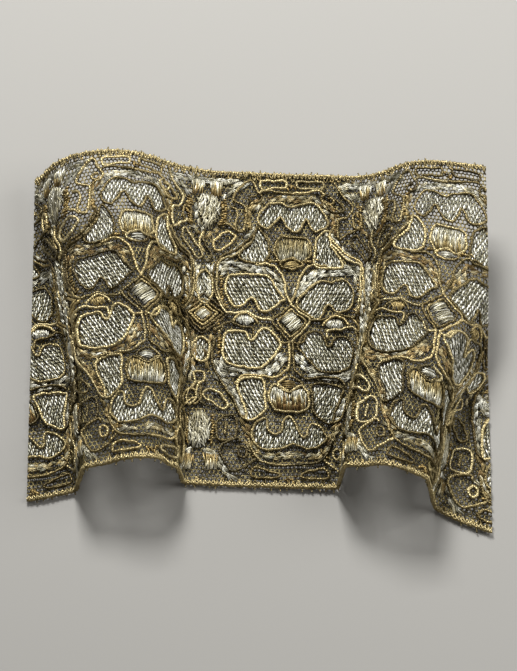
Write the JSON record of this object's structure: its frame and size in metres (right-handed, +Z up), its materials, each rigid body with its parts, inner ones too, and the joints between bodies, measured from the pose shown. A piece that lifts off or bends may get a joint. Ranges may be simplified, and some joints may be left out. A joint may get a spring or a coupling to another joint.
{
  "type": "lace trim",
  "caption": "Cut length of gilt and silver metal-thread lace trim with hearts and crowns, lying in two soft waves.",
  "frame": {"origin": "middle of the box's underside, on the surface that the trim lies on", "axes": "+X along the length of the band, +Y across it to the upper edge, +Z up"},
  "size_m": [0.1283, 0.1142, 0.02],
  "materials": {
    "metal_net": "satin",
    "gilt_edge_cord": "satin",
    "gilt_cord": "satin",
    "silver_satin": "satin"
  },
  "bodies": {
    "root": {"blob_lower_i01": "silver_satin", "blob_lower_i12": "silver_satin", "blob_lower_i23": "silver_satin", "blob_upper_i01": "silver_satin", "blob_upper_i12": "silver_satin", "blob_upper_i23": "silver_satin", "block_lower_m1": "gilt_cord", "block_lower_m2": "gilt_cord", "block_lower_m3": "gilt_cord", "block_upper_m1": "gilt_cord", "block_upper_m2": "gilt_cord", "block_upper_m3": "gilt_cord", "crown_lower_m1": "gilt_cord", "crown_lower_m2": "gilt_cord", "crown_lower_m3": "gilt_cord", "crown_upper_m1": "gilt_cord", "crown_upper_m2": "gilt_cord", "crown_upper_m3": "gilt_cord", "diamond_i01": "gilt_cord", "diamond_i12": "gilt_cord", "diamond_i23": "gilt_cord", "heart_lower_left_m1": "gilt_cord", "heart_lower_left_m2": "gilt_cord", "heart_lower_left_m3": "gilt_cord", "heart_lower_right_m0": "gilt_cord", "heart_lower_right_m1": "gilt_cord", "heart_lower_right_m2": "gilt_cord", "heart_lower_right_m3": "gilt_cord", "heart_upper_left_m1": "gilt_cord", "heart_upper_left_m2": "gilt_cord", "heart_upper_left_m3": "gilt_cord", "heart_upper_right_m0": "gilt_cord", "heart_upper_right_m1": "gilt_cord", "heart_upper_right_m2": "gilt_cord", "heart_upper_right_m3": "gilt_cord", "lower_edging": "gilt_edge_cord", "net_band": "metal_net", "satin_bar_m1": "silver_satin", "satin_bar_m2": "silver_satin", "satin_bar_m3": "silver_satin", "upper_edging": "gilt_edge_cord", "wedge_lower_left_m1": "gilt_cord", "wedge_lower_left_m2": "gilt_cord", "wedge_lower_left_m3": "gilt_cord", "wedge_lower_right_m0": "gilt_cord", "wedge_lower_right_m1": "gilt_cord", "wedge_lower_right_m2": "gilt_cord", "wedge_lower_right_m3": "gilt_cord", "wedge_upper_left_m1": "gilt_cord", "wedge_upper_left_m2": "gilt_cord", "wedge_upper_left_m3": "gilt_cord", "wedge_upper_right_m0": "gilt_cord", "wedge_upper_right_m1": "gilt_cord", "wedge_upper_right_m2": "gilt_cord", "wedge_upper_right_m3": "gilt_cord"}
  },
  "joints": []
}
